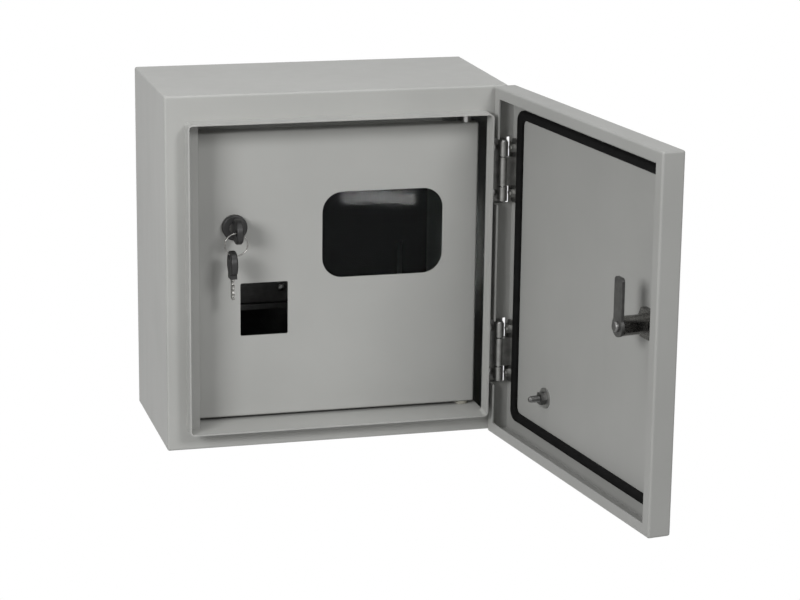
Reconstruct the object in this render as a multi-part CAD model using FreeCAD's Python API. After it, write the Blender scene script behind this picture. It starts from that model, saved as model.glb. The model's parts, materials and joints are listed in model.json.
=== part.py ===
import FreeCAD, Part
import math
import os

Vec = FreeCAD.Vector
X_AXIS = Vec(1, 0, 0)
Y_AXIS = Vec(0, 1, 0)
Z_AXIS = Vec(0, 0, 1)

# Wall-mounted electric meter box. Millimetres, +Z up, the wall face lies in y = 0 and the front looks along -Y.
# The origin is the centre of the four wall-fixing holes.

# Folded steel body
body_width = 300.0
body_height = 310.0
body_depth = 150.0
body_sheet = 1.2
bend_radius = 2.0
flange_width = 17.0
flange_top_width = 22.0
collar_height = 16.5
collar_corner_radius = 4.0
wall_hole_spacing_x = 250.0
wall_hole_spacing_z = 260.0
wall_hole_radius = 3.5

# Frame behind the flange that carries the inner door, with the lock jamb on its left
frame_sheet = 1.5
jamb_width = 10.8
jamb_setback = 1.2
jamb_rear_lip = 7.0
jamb_weld_leg = 14.0
stop_cover = 5.2
stop_gap = 0.3
stop_end_gap = 20.0
cam_slot_margin = 1.3

# Inner door, a tray with its folds turned back
inner_recess = 20.0
inner_sheet = 1.2
inner_fold = 12.0
inner_bend_radius = 1.8
inner_gap_hinge = 1.5
inner_gap_jamb = 2.0
pivot_inset = 9.8
pivot_radius = 2.5
pivot_clearance = 0.05
pivot_head_radius = 4.0
pivot_head_height = 1.8
pivot_end = 1.6
pivot_shoulder_radius = 4.0
pivot_shoulder_height = 10.2
washer_radius = 5.5
washer_height = 2.7
washer_clearance = 0.1

# Meter window, its glazing and the breaker cut-out
window_x = 44.7
window_z = 24.6
window_width = 108.0
window_height = 76.2
window_corner_radius = 18.0
pane_thickness = 3.0
pane_overlap = 7.0
retainer_sheet = 1.2
retainer_overlap = 2.0
retainer_rim = 9.0
window_stud_radius = 1.5
window_stud_length = 7.5
window_nut_flats = 5.5
window_nut_height = 2.4
breaker_x = -60.7
breaker_z = -37.8
breaker_width = 42.0
breaker_height = 47.0
breaker_corner_radius = 1.5

# Outer door, a tray with a return lip, modelled shut and then swung open
door_rest_angle = 98.0
door_gap = 2.0
door_fold = 20.0
door_sheet = 1.2
door_lip = 10.0
gasket_width = 8.0
gasket_edge_radius = 2.5
gasket_corner_radius = 10.0
gasket_clearance = 0.3

# Hinges of the outer door
hinge_inset = 6.0
hinge_stand = 9.0
hinge_spread = 162.0
hinge_height = 56.0
knuckle_radius = 4.0
knuckle_split = 26.0
knuckle_gap = 1.0
knuckle_length = 12.5
hinge_pin_radius = 2.0
hinge_pin_clearance = 0.05
hinge_pin_head = 1.5
hinge_pin_head_radius = 3.2
hinge_plate = 1.5
hinge_plate_gap = 1.5
hinge_arm_half = 3.5
hinge_arm_relief = 0.7
hinge_screw_spacing = 40.0
hinge_screw_inset = 12.0
hinge_foot = 2.0
hinge_foot_gap = 0.8
hinge_wall_gap = 1.0
notch_margin = 1.0
notch_depth = 8.0

# Screws and nuts
m4_radius = 2.0
m4_hole_radius = 2.2
m4_head_radius = 3.0
m4_head_height = 2.2
m4_nut_flats = 7.0
m4_nut_height = 3.2
m4_tail = 0.8
m5_radius = 2.5
m5_head_radius = 4.5
m5_head_height = 3.0
m5_grip = 8.0
m6_radius = 3.0
m6_nut_flats = 10.0
m6_nut_height = 5.0
m6_washer_radius = 9.0
m6_washer_height = 1.2
earth_stud_length = 16.0

# Outer door lock
outer_lock_inset = 44.0
outer_lock_z = 8.0
outer_barrel_radius = 8.0
outer_barrel_flats = 14.0
outer_head_radius = 12.0
outer_head_height = 3.0
outer_plug_radius = 5.0
outer_nut_flats = 24.0
outer_nut_height = 5.0
outer_cam_depth = 6.0
outer_cam_reach = 40.0
outer_cam_width = 13.0
outer_cam_thickness = 2.5

# Inner door lock
inner_lock_x = -87.0
inner_lock_z = 36.0
inner_barrel_radius = 8.0
inner_barrel_flats = 14.0
inner_head_radius = 11.0
inner_head_height = 5.0
inner_plug_radius = 5.0
inner_nut_flats = 20.0
inner_nut_height = 4.0
inner_cam_gap = 1.2
inner_cam_reach = 40.0
inner_cam_width = 13.0
inner_cam_thickness = 2.0

# What both locks share
head_edge_radius = 1.2
flat_clearance = 0.1
plug_clearance = 0.05
plug_shoulder = 1.0
cam_square = 6.0
cam_square_clearance = 0.1
cam_eye_rim = 2.0
keyway_width = 2.2
keyway_height = 7.8
keyway_depth = 18.7

# Keys with moulded heads, and their ring
key_thickness = 2.0
key_head_radius = 11.0
key_head_thickness = 6.0
key_head_edge = 1.6
key_neck_length = 2.0
key_neck_width = 10.0
key_tang_length = 10.0
key_hole_radius = 3.0
key_hole_offset = 6.0
blade_width = 7.4
blade_length = 18.5
blade_notches = 4
blade_notch_pitch = 3.8
blade_notch_depth = 2.0
ring_radius = 10.2
ring_wire_radius = 0.8
ring_clearance = 0.1
ring_lean = 24.0

# Meter board and its fixings
board_width = 230.0
board_height = 236.0
board_thickness = 3.0
board_corner_radius = 6.0
standoff_length = 18.0
standoff_flats = 10.0
standoff_spacing = 200.0
meter_slot_width = 5.5
meter_slot_length = 40.0
meter_slot_spread = 90.0
meter_slot_drop = 55.0
meter_slot_top = 75.0

# Top-hat rail for the breaker, on two hat-shaped brackets
rail_length = 84.0
rail_width = 35.0
rail_height = 7.5
rail_sheet = 1.0
rail_crown = 27.0
rail_setback = 62.0
bracket_width = 16.0
bracket_sheet = 2.0
bracket_span = 34.0
bracket_foot = 12.0
bracket_end_gap = 4.0

# Rubber cable grommets in the bottom
grommet_spacing = 62.0
grommet_y = -72.0
grommet_groove_radius = 14.5
grommet_flange_radius = 18.5
grommet_flange = 2.5
grommet_cone_length = 11.0
grommet_tip_radius = 6.5
grommet_wall = 1.8

# Earth stud inside the body
body_earth_y = -60.0
body_earth_z = -100.0
door_earth_inset = 76.0
door_earth_rise = 50.0

# Planes and edges that several pieces share
half_width = body_width / 2
half_height = body_height / 2
front = -body_depth
flange_back = front + body_sheet
wall_inside_x = half_width - body_sheet
wall_inside_z = half_height - body_sheet
back_inside = -body_sheet
collar_outer_x = half_width - flange_width
collar_outer_top = half_height - flange_top_width
collar_outer_bottom = flange_width - half_height
collar_inner_x = collar_outer_x - body_sheet
collar_inner_top = collar_outer_top - body_sheet
collar_inner_bottom = collar_outer_bottom + body_sheet
collar_tip = front - collar_height

inner_face = front + inner_recess
inner_back = inner_face + inner_sheet
inner_rear = inner_face + inner_fold
inner_right = collar_inner_x - inner_gap_hinge
jamb_edge = -(collar_inner_x - jamb_width)
inner_left = jamb_edge + inner_gap_jamb
inner_gap_bottom = washer_height + washer_clearance
inner_gap_top = pivot_shoulder_height + inner_gap_bottom
inner_top = collar_inner_top - inner_gap_top
inner_bottom = collar_inner_bottom + inner_gap_bottom
pivot_x = inner_right - pivot_inset
pivot_y = inner_face + inner_fold / 2
frame_rear = inner_rear + stop_gap + frame_sheet

lip_plane = front - door_gap
skin_front = lip_plane - door_fold
skin_back = skin_front + door_sheet
hinge_x = half_width - hinge_inset
hinge_y = front - hinge_stand
hinge_centres = (hinge_spread / 2, -hinge_spread / 2)
hinge_screw_x = half_width - hinge_screw_inset
hinge_axis_point = Vec(hinge_x, hinge_y, 0)

outer_lock_x = -half_width + outer_lock_inset
outer_cam_front = front + outer_cam_depth
inner_cam_front = frame_rear + inner_cam_gap
plug_face = inner_face - inner_head_height
key_head_offset = key_head_radius + key_neck_length
key_hole_y = plug_face - key_head_offset - key_hole_offset
ring_lean_sine = math.sin(math.radians(ring_lean))
ring_lean_cosine = math.cos(math.radians(ring_lean))
ring_inside = ring_radius - ring_wire_radius - ring_clearance
ring_half_grip = key_head_thickness / 2
ring_seat = math.sqrt(ring_inside ** 2 - (ring_half_grip * ring_lean_cosine) ** 2) - ring_half_grip * ring_lean_sine
ring_centre_x = inner_lock_x - ring_seat * ring_lean_sine
ring_centre_z = inner_lock_z - key_hole_radius - ring_seat * ring_lean_cosine
spare_hole_x = ring_centre_x - ring_seat * ring_lean_sine
spare_hole_z = ring_centre_z - ring_seat * ring_lean_cosine - key_hole_radius

board_back = back_inside - standoff_length
board_front = board_back - board_thickness
rail_front = inner_face + rail_setback
rail_back = rail_front + rail_height
breaker_rail_x = breaker_x
breaker_rail_z = breaker_z


def block(x, y, z):
    """Box between the two ends given on each axis."""
    size = [abs(pair[1] - pair[0]) for pair in (x, y, z)]
    return Part.makeBox(size[0], size[1], size[2], Vec(min(x), min(y), min(z)))


def rod(start, axis, length, radius):
    """Round rod from a start point along an axis."""
    return Part.makeCylinder(radius, length, start, axis)


def join(shapes):
    """One clean solid out of overlapping or touching shapes."""
    return shapes[0].multiFuse(shapes[1:]).removeSplitter()


def rounded_plate(x, y, z, radius):
    """Plate in the XZ plane with round corners, between two y planes."""
    plate = block(x, y, z)
    corners = [edge for edge in plate.Edges if abs(edge.tangentAt(edge.FirstParameter).y) > 0.5]
    return plate.makeFillet(radius, corners)


def hexagon(across_flats, start, axis, length):
    """Hexagonal bar from a start point along an axis."""
    radius = across_flats / math.sqrt(3)
    corners = [Vec(radius * math.cos(math.radians(60 * i)), radius * math.sin(math.radians(60 * i)), 0)
               for i in range(7)]
    bar = Part.Face(Part.makePolygon(corners)).extrude(Vec(0, 0, length))
    bar.Placement = FreeCAD.Placement(start, FreeCAD.Rotation(Z_AXIS, axis))
    return bar


def nut(across_flats, start, axis, height, bore_radius):
    """Hexagon nut with a plain bore."""
    return hexagon(across_flats, start, axis, height).cut(rod(start, axis, height, bore_radius))


def screw(seat, axis, head_radius, head_height, radius, length):
    """Domed screw: the head stands on its seat and the shank runs along the axis."""
    head = rod(seat - axis * head_height, axis, head_height, head_radius)
    far_edges = [edge for edge in head.Edges
                 if abs((edge.CenterOfMass - seat).dot(axis) + head_height) < head_height / 4]
    head = head.makeFillet(head_height / 2, far_edges)
    return join([head, rod(seat, axis, length, radius)])


def edges_on_plane_y(shape, y):
    """Edges that lie in one y plane."""
    flat = []
    for edge in shape.Edges:
        box = edge.BoundBox
        if abs(box.YMin - y) < body_sheet / 10 and abs(box.YMax - y) < body_sheet / 10:
            flat.append(edge)
    return flat


def edges_along_y(shape):
    """Straight edges that run along Y."""
    return [edge for edge in shape.Edges if edge.BoundBox.YLength > edge.BoundBox.DiagonalLength * 0.99]


def swing_open(shape):
    """A piece of the shut outer door, turned to where the door stands open."""
    turned = shape.copy()
    turned.rotate(hinge_axis_point, Z_AXIS, door_rest_angle)
    return turned


def hinge_screw_places():
    """Heights of the four screws that hold the two hinges."""
    return [centre + side * hinge_screw_spacing / 2 for centre in hinge_centres for side in (1, -1)]


def make_body_shell():
    """Folded box with an inward flange and a collar that keeps rain out."""
    outer = block((-half_width, half_width), (front, 0), (-half_height, half_height))
    outer = outer.makeFillet(bend_radius, outer.Edges)
    inner = block((-wall_inside_x, wall_inside_x), (flange_back, back_inside), (-wall_inside_z, wall_inside_z))
    inner = inner.makeFillet(bend_radius - body_sheet, inner.Edges)
    collar = rounded_plate((-collar_outer_x, collar_outer_x), (collar_tip, flange_back),
                           (collar_outer_bottom, collar_outer_top), collar_corner_radius)
    mouth = rounded_plate((-collar_inner_x, collar_inner_x), (collar_tip, flange_back),
                          (collar_inner_bottom, collar_inner_top), collar_corner_radius - body_sheet)
    shell = join([outer.cut(inner), collar]).cut(mouth)
    holes = []
    for side_x in (1, -1):
        for side_z in (1, -1):
            place = Vec(side_x * wall_hole_spacing_x / 2, back_inside, side_z * wall_hole_spacing_z / 2)
            holes.append(rod(place, Y_AXIS, body_sheet, wall_hole_radius))
    for z in hinge_screw_places():
        holes.append(rod(Vec(hinge_screw_x, front, z), Y_AXIS, body_sheet, m4_hole_radius))
    for step in (-1, 0, 1):
        place = Vec(step * grommet_spacing, grommet_y, -half_height)
        holes.append(rod(place, Z_AXIS, body_sheet, grommet_groove_radius))
    return shell.cut(Part.makeCompound(holes))


def make_inner_frame():
    """Folded frame behind the flange, open at the hinge side: two walls with stops, and the lock jamb."""
    depth = (flange_back, frame_rear)
    stop_depth = (frame_rear - frame_sheet, frame_rear)
    pieces = []
    for side, edge, gap in ((1, collar_inner_top, inner_gap_top), (-1, collar_inner_bottom, inner_gap_bottom)):
        wall_z = (edge, edge + side * frame_sheet)
        wall = block((-wall_inside_x + bend_radius, collar_inner_x + frame_sheet), depth, wall_z)
        pivot_hole = rod(Vec(pivot_x, pivot_y, min(wall_z)), Z_AXIS, frame_sheet, pivot_radius + pivot_clearance)
        stop = block((jamb_edge, pivot_x - stop_end_gap), stop_depth,
                     (edge, edge - side * (gap + stop_cover)))
        pieces += [wall.cut(pivot_hole), stop]
    full_height = (collar_inner_bottom, collar_inner_top)
    jamb_face = flange_back + jamb_setback
    pieces.append(block((-wall_inside_x, jamb_edge), (jamb_face, jamb_face + frame_sheet), full_height))
    pieces.append(block((-wall_inside_x, -wall_inside_x + frame_sheet),
                        (jamb_face, jamb_face + jamb_weld_leg), full_height))
    web = block((jamb_edge - frame_sheet, jamb_edge), (jamb_face, frame_rear), full_height)
    cam_slot = block((jamb_edge - frame_sheet, jamb_edge),
                     (outer_cam_front - cam_slot_margin, outer_cam_front + outer_cam_thickness + cam_slot_margin),
                     (outer_lock_z - outer_cam_width, outer_lock_z + outer_cam_reach + outer_cam_width / 2))
    pieces.append(web.cut(cam_slot))
    pieces.append(block((jamb_edge - jamb_rear_lip, jamb_edge), stop_depth, full_height))
    return join(pieces)


def double_d(x, z, y, radius, across_flats):
    """Round bar along Y with two upright flats."""
    bar = rod(Vec(x, min(y), z), Y_AXIS, abs(y[1] - y[0]), radius)
    flats = block((x - across_flats / 2, x + across_flats / 2), y, (z - radius, z + radius))
    return bar.common(flats)


def make_lock_barrel(x, z, head_front, head_height, head_radius, rear, radius, across_flats, plug_radius):
    """Lock body: a round head outside, a barrel with two flats, and the bore for the plug."""
    head = rod(Vec(x, head_front, z), Y_AXIS, head_height, head_radius)
    head = head.makeFillet(head_edge_radius, edges_on_plane_y(head, head_front))
    barrel = double_d(x, z, (head_front + head_height, rear), radius, across_flats)
    bore = rod(Vec(x, head_front, z), Y_AXIS, rear - head_front, plug_radius + plug_clearance)
    return join([head, barrel]).cut(bore)


def make_lock_plug(x, z, face, cam_front, cam_thickness, radius):
    """Turning plug: keyway in front, a square for the cam and a tapped hole behind."""
    plug = rod(Vec(x, face, z), Y_AXIS, cam_front - face, radius)
    square = block((x - cam_square / 2, x + cam_square / 2), (cam_front, cam_front + cam_thickness),
                   (z - cam_square / 2, z + cam_square / 2))
    keyway = block((x - keyway_width / 2, x + keyway_width / 2), (face, face + keyway_depth),
                   (z - keyway_height / 2, z + keyway_height / 2))
    tapped = rod(Vec(x, cam_front - m4_tail, z), Y_AXIS, cam_thickness + m4_tail, m4_radius)
    return join([plug, square]).cut(keyway).cut(tapped)


def make_cam(x, z, cam_front, thickness, reach, width):
    """Flat locking bar that points up, with a square eye at its lower end."""
    y = (cam_front, cam_front + thickness)
    eye = rod(Vec(x, cam_front, z), Y_AXIS, thickness, width / 2 + cam_eye_rim)
    bar = block((x - width / 2, x + width / 2), y, (z, z + reach))
    corners = [edge for edge in edges_along_y(bar) if edge.CenterOfMass.z > z + reach / 2]
    bar = bar.makeFillet(width / 4, corners)
    half_eye = cam_square / 2 + cam_square_clearance
    hole = block((x - half_eye, x + half_eye), y, (z - half_eye, z + half_eye))
    return join([eye, bar]).cut(hole)


def make_cam_screw(x, z, cam_front, thickness):
    """Screw that holds a cam on its plug."""
    seat = Vec(x, cam_front + thickness, z)
    return screw(seat, Vec(0, -1, 0), m5_head_radius, m5_head_height, m4_radius, thickness + m4_tail)


def make_inner_door():
    """Inner door tray with the meter window, the breaker cut-out, the lock hole and the pivot holes."""
    width = (inner_left, inner_right)
    tray = block(width, (inner_face, inner_rear), (inner_bottom, inner_top))
    tray = tray.makeFillet(inner_bend_radius, edges_on_plane_y(tray, inner_face) + edges_along_y(tray))
    hollow = block((inner_left + inner_sheet, inner_right - inner_sheet), (inner_back, inner_rear),
                   (inner_bottom + inner_sheet, inner_top - inner_sheet))
    inside_edges = edges_on_plane_y(hollow, inner_back) + edges_along_y(hollow)
    hollow = hollow.makeFillet(inner_bend_radius - inner_sheet, inside_edges)
    skin = (inner_face, inner_back)
    window = rounded_plate((window_x - window_width / 2, window_x + window_width / 2), skin,
                           (window_z - window_height / 2, window_z + window_height / 2), window_corner_radius)
    breaker = rounded_plate((breaker_x - breaker_width / 2, breaker_x + breaker_width / 2), skin,
                            (breaker_z - breaker_height / 2, breaker_z + breaker_height / 2),
                            breaker_corner_radius)
    lock_hole = double_d(inner_lock_x, inner_lock_z, skin, inner_barrel_radius + flat_clearance,
                         inner_barrel_flats + 2 * flat_clearance)
    pivots = rod(Vec(pivot_x, pivot_y, inner_bottom), Z_AXIS, inner_top - inner_bottom, pivot_radius)
    return tray.cut(Part.makeCompound([hollow, window, breaker, lock_hole])).cut(pivots)


def make_pivot_pin(edge_z, side, gap):
    """Headed pin in the inner door's fold that turns in the frame's wall."""
    up = Vec(0, 0, side)
    seat = Vec(pivot_x, pivot_y, edge_z - side * inner_sheet)
    length = inner_sheet + gap + frame_sheet + pivot_end
    head = rod(seat - up * pivot_head_height, up, pivot_head_height, pivot_head_radius)
    return join([head, rod(seat, up, length, pivot_radius)])


def make_upper_pivot_pin():
    """Upper pin, with a shoulder that stands on the fold and carries its washer up to the frame."""
    shoulder = rod(Vec(pivot_x, pivot_y, inner_top), Z_AXIS, pivot_shoulder_height, pivot_shoulder_radius)
    return join([make_pivot_pin(inner_top, 1, inner_gap_top), shoulder])


def make_pivot_washers():
    """Spacing washers between the inner door and the frame, on the upper shoulder and under the lower fold."""
    pair = []
    for low in (inner_top + pivot_shoulder_height, inner_bottom - washer_height):
        foot = Vec(pivot_x, pivot_y, low)
        pair.append(rod(foot, Z_AXIS, washer_height, washer_radius).cut(
            rod(foot, Z_AXIS, washer_height, pivot_radius)))
    return Part.makeCompound(pair)


def window_plate(margin, y, corner_margin):
    """Plate larger than the meter window by a margin all round."""
    half_x = window_width / 2 + margin
    half_z = window_height / 2 + margin
    return rounded_plate((window_x - half_x, window_x + half_x), y, (window_z - half_z, window_z + half_z),
                         window_corner_radius + corner_margin)


def window_stud_places():
    """The four points round the window where the retainer is held."""
    offset = pane_overlap + retainer_rim / 2
    half_x = window_width / 2 + offset
    half_z = window_height / 2 + offset
    quarter = window_width / 4
    places = [(window_x + side * quarter, window_z + end * half_z) for side in (1, -1) for end in (1, -1)]
    places += [(window_x + side * half_x, window_z) for side in (1, -1)]
    return places


def make_window_pane():
    """Clear pane that lies against the back of the inner door."""
    return window_plate(pane_overlap, (inner_back, inner_back + pane_thickness), 0)


def make_window_retainer():
    """Flat ring that holds the pane from behind."""
    y = (inner_back + pane_thickness, inner_back + pane_thickness + retainer_sheet)
    ring = window_plate(pane_overlap + retainer_rim, y, 0).cut(window_plate(retainer_overlap, y, 0))
    holes = [rod(Vec(x, y[0], z), Y_AXIS, retainer_sheet, window_stud_radius) for x, z in window_stud_places()]
    return ring.cut(Part.makeCompound(holes))


def make_window_studs():
    """Studs welded to the back of the inner door."""
    return Part.makeCompound([rod(Vec(x, inner_back, z), Y_AXIS, window_stud_length, window_stud_radius)
                              for x, z in window_stud_places()])


def make_window_nuts():
    """Nuts that press the retainer on the pane."""
    seat_y = inner_back + pane_thickness + retainer_sheet
    return Part.makeCompound([nut(window_nut_flats, Vec(x, seat_y, z), Y_AXIS, window_nut_height,
                                  window_stud_radius) for x, z in window_stud_places()])


def make_key_blade():
    """Metal of a key in the upright YZ plane: the shoulder at the origin, the blade along +Y, the tang along -Y."""
    half = key_thickness / 2
    blade = block((-half, half), (0, blade_length), (-blade_width / 2, blade_width / 2))
    tip_edges = [edge for edge in blade.Edges
                 if edge.BoundBox.YMin > blade_length / 2 and edge.BoundBox.XLength > half]
    blade = blade.makeFillet(blade_width / 4, tip_edges)
    cuts = []
    for i in range(blade_notches):
        centre = Vec(-half, (i + 1) * blade_notch_pitch, -blade_width / 2)
        depth = blade_notch_depth / (1 + i % 2)
        cuts.append(rod(centre, X_AXIS, key_thickness, depth))
    return join([blade, key_tang()]).cut(Part.makeCompound(cuts))


def key_tang():
    """The end of a key's metal that is moulded into its head."""
    half = key_thickness / 2
    return block((-half, half), (-key_tang_length, 0), (-blade_width / 2, blade_width / 2))


def make_key_head():
    """Moulded head of a key: a round grip with a hole for the ring, and a pocket for the tang."""
    half = key_head_thickness / 2
    grip = rod(Vec(-half, -key_head_offset, 0), X_AXIS, key_head_thickness, key_head_radius)
    neck = block((-half, half), (-key_head_offset, 0), (-key_neck_width / 2, key_neck_width / 2))
    head = join([grip, neck])
    rim = [edge for edge in head.Edges
           if edge.BoundBox.XLength < key_head_edge and edge.Length > key_head_radius]
    head = head.makeFillet(key_head_edge, rim)
    hole = rod(Vec(-half, -key_head_offset - key_hole_offset, 0), X_AXIS, key_head_thickness, key_hole_radius)
    return head.cut(hole).cut(key_tang())


def in_lock(shape):
    """A key's piece, moved into the inner lock."""
    shape.translate(Vec(inner_lock_x, plug_face, inner_lock_z))
    return shape


def on_ring(shape):
    """A key's piece, hung from the ring with its blade down."""
    shape.rotate(Vec(0, 0, 0), X_AXIS, -90)
    hole_rise = key_head_offset + key_hole_offset
    shape.translate(Vec(spare_hole_x, key_hole_y, spare_hole_z - hole_rise))
    return shape


def make_key_ring():
    """Wire ring through the heads of both keys."""
    return Part.makeTorus(ring_radius, ring_wire_radius, Vec(ring_centre_x, key_hole_y, ring_centre_z), Y_AXIS)


def make_outer_door():
    """Door tray with a return lip, notched where the hinges pass, with the lock hole."""
    outer = block((-half_width, half_width), (skin_front, lip_plane), (-half_height, half_height))
    outer = outer.makeFillet(bend_radius, outer.Edges)
    inside_x = half_width - door_sheet
    inside_z = half_height - door_sheet
    hollow = block((-inside_x, inside_x), (skin_back, lip_plane - door_sheet), (-inside_z, inside_z))
    hollow = hollow.makeFillet(bend_radius - door_sheet, hollow.Edges)
    mouth_x = half_width - door_lip
    mouth_z = half_height - door_lip
    mouth = block((-mouth_x, mouth_x), (lip_plane - door_sheet, lip_plane), (-mouth_z, mouth_z))
    cuts = [hollow, mouth]
    half_notch = hinge_height / 2 + notch_margin
    for centre in hinge_centres:
        cuts.append(block((mouth_x - notch_margin, half_width), (hinge_y - notch_depth, lip_plane),
                          (centre - half_notch, centre + half_notch)))
    cuts.append(double_d(outer_lock_x, outer_lock_z, (skin_front, skin_back),
                         outer_barrel_radius + flat_clearance, outer_barrel_flats + 2 * flat_clearance))
    door = outer
    for cut in cuts:
        door = door.cut(cut)
    return door


def make_door_gasket():
    """Foam seal on the inside of the door, opposite the collar's rim."""
    middle_x = collar_outer_x - body_sheet / 2
    middle_top = collar_outer_top - body_sheet / 2
    middle_bottom = collar_outer_bottom + body_sheet / 2
    top = collar_tip - gasket_clearance
    y = (skin_back, top)
    half = gasket_width / 2
    ring = rounded_plate((-middle_x - half, middle_x + half), y, (middle_bottom - half, middle_top + half),
                         gasket_corner_radius)
    ring = ring.cut(rounded_plate((half - middle_x, middle_x - half), y, (middle_bottom + half, middle_top - half),
                                  gasket_corner_radius - half))
    return ring.makeFillet(gasket_edge_radius, edges_on_plane_y(ring, top))


def frame_knuckle_spans(centre):
    """Heights of the two knuckles that stand on the body's side of a hinge."""
    start = knuckle_split / 2 + knuckle_gap / 2
    return [(centre + side * start, centre + side * (start + knuckle_length)) for side in (1, -1)]


def make_hinge_frame_leaf(centre):
    """Cast leaf screwed to the flange, with two arms out to the pin."""
    half = hinge_height / 2
    plate = block((collar_outer_x + hinge_plate_gap, hinge_x + hinge_arm_half), (front - hinge_plate, front),
                  (centre - half, centre + half))
    plate = plate.makeFillet(bend_radius, edges_along_y(plate))
    pieces = [plate]
    for span in frame_knuckle_spans(centre):
        pieces.append(block((hinge_x - hinge_arm_half + hinge_arm_relief, hinge_x + hinge_arm_half),
                            (hinge_y, front), span))
        pieces.append(rod(Vec(hinge_x, hinge_y, min(span)), Z_AXIS, knuckle_length, knuckle_radius))
    leaf = join(pieces)
    cuts = [rod(Vec(hinge_x, hinge_y, centre - half), Z_AXIS, hinge_height, hinge_pin_radius)]
    for side in (1, -1):
        place = Vec(hinge_screw_x, front - hinge_plate, centre + side * hinge_screw_spacing / 2)
        cuts.append(rod(place, Y_AXIS, hinge_plate, m4_radius))
    return leaf.cut(Part.makeCompound(cuts))


def make_hinge_door_leaf(centre):
    """Cast leaf on the door's studs, with one knuckle between the frame's two."""
    half = hinge_height / 2
    half_knuckle = knuckle_split / 2 - knuckle_gap / 2
    foot_y = (skin_back, skin_back + hinge_foot)
    foot_left = collar_outer_x - body_sheet / 2 + gasket_width / 2 + hinge_foot_gap
    foot = block((foot_left, half_width - door_sheet - hinge_wall_gap), foot_y, (centre - half, centre + half))
    foot = foot.makeFillet(bend_radius, edges_along_y(foot))
    web = block((hinge_x - hinge_arm_half, hinge_x + hinge_arm_half), (skin_back, hinge_y),
                (centre - half_knuckle, centre + half_knuckle))
    knuckle = rod(Vec(hinge_x, hinge_y, centre - half_knuckle), Z_AXIS, 2 * half_knuckle, knuckle_radius)
    bore = rod(Vec(hinge_x, hinge_y, centre - half), Z_AXIS, hinge_height,
               hinge_pin_radius + hinge_pin_clearance)
    cuts = [bore]
    for side in (1, -1):
        place = Vec(hinge_x, skin_back, centre + side * hinge_screw_spacing / 2)
        cuts.append(rod(place, Y_AXIS, hinge_foot, m4_radius))
    return join([foot, web, knuckle]).cut(Part.makeCompound(cuts))


def make_hinge_pin(centre):
    """Headed pin held in the frame leaf's knuckles."""
    reach = knuckle_split / 2 + knuckle_gap / 2 + knuckle_length
    pin = rod(Vec(hinge_x, hinge_y, centre - reach), Z_AXIS, 2 * reach, hinge_pin_radius)
    head = rod(Vec(hinge_x, hinge_y, centre + reach), Z_AXIS, hinge_pin_head, hinge_pin_head_radius)
    return join([pin, head])


def make_hinge_screws():
    """Screws that hold the frame leaves to the flange."""
    length = hinge_plate + body_sheet + m4_nut_height + m4_tail
    return Part.makeCompound([screw(Vec(hinge_screw_x, front - hinge_plate, z), Y_AXIS, m4_head_radius,
                                    m4_head_height, m4_radius, length) for z in hinge_screw_places()])


def make_hinge_nuts():
    """Nuts of the frame leaves, behind the flange."""
    return Part.makeCompound([nut(m4_nut_flats, Vec(hinge_screw_x, flange_back, z), Y_AXIS, m4_nut_height,
                                  m4_radius) for z in hinge_screw_places()])


def make_door_hinge_studs():
    """Studs welded inside the door for the door leaves."""
    length = hinge_foot + m4_nut_height + m4_tail
    return Part.makeCompound([rod(Vec(hinge_x, skin_back, z), Y_AXIS, length, m4_radius)
                              for z in hinge_screw_places()])


def make_door_hinge_nuts():
    """Nuts of the door leaves."""
    return Part.makeCompound([nut(m4_nut_flats, Vec(hinge_x, skin_back + hinge_foot, z), Y_AXIS, m4_nut_height,
                                  m4_radius) for z in hinge_screw_places()])


def make_earth_set(start, axis):
    """Welded earth stud with its washer and nut, standing on a surface."""
    stud = rod(start, axis, earth_stud_length, m6_radius)
    washer = rod(start, axis, m6_washer_height, m6_washer_radius).cut(stud)
    earth_nut = nut(m6_nut_flats, start + axis * m6_washer_height, axis, m6_nut_height, m6_radius)
    return stud, washer, earth_nut


def standoff_places():
    """Corners of the meter board's fixing square."""
    half = standoff_spacing / 2
    return [(side_x * half, side_z * half) for side_x in (1, -1) for side_z in (1, -1)]


def make_board_standoffs():
    """Hexagon pillars welded to the back of the body."""
    pillars = []
    for x, z in standoff_places():
        start = Vec(x, back_inside, z)
        tapped = rod(Vec(x, board_back, z), Y_AXIS, m5_grip, m5_radius)
        pillars.append(hexagon(standoff_flats, start, Vec(0, -1, 0), standoff_length).cut(tapped))
    return Part.makeCompound(pillars)


def upright_slot(x, y, z):
    """Slot for one foot of the meter, long in Z with round ends."""
    radius = meter_slot_width / 2
    reach = meter_slot_length / 2 - radius
    ends = [rod(Vec(x, min(y), z + side * reach), Y_AXIS, board_thickness, radius) for side in (1, -1)]
    return join(ends + [block((x - radius, x + radius), y, (z - reach, z + reach))])


def make_meter_board():
    """Insulating board with three slots for a meter's feet."""
    y = (board_front, board_back)
    board = rounded_plate((-board_width / 2, board_width / 2), y, (-board_height / 2, board_height / 2),
                          board_corner_radius)
    cuts = [rod(Vec(x, board_front, z), Y_AXIS, board_thickness, m5_radius) for x, z in standoff_places()]
    slot_places = [(window_x, window_z + meter_slot_top)]
    slot_places += [(window_x + side * meter_slot_spread / 2, window_z - meter_slot_drop) for side in (1, -1)]
    cuts += [upright_slot(x, y, z) for x, z in slot_places]
    for x, z in bracket_screw_places():
        cuts.append(rod(Vec(x, board_front, z), Y_AXIS, board_thickness, m4_radius))
    return board.cut(Part.makeCompound(cuts))


def make_board_screws():
    """Screws that hold the board on its pillars."""
    return Part.makeCompound([screw(Vec(x, board_front, z), Y_AXIS, m5_head_radius, m5_head_height, m5_radius,
                                    board_thickness + m5_grip) for x, z in standoff_places()])


def bracket_centre(side):
    """Middle of the left (-1) or right (1) rail bracket."""
    return breaker_rail_x + side * (rail_length / 2 - bracket_end_gap - bracket_width / 2)


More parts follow.
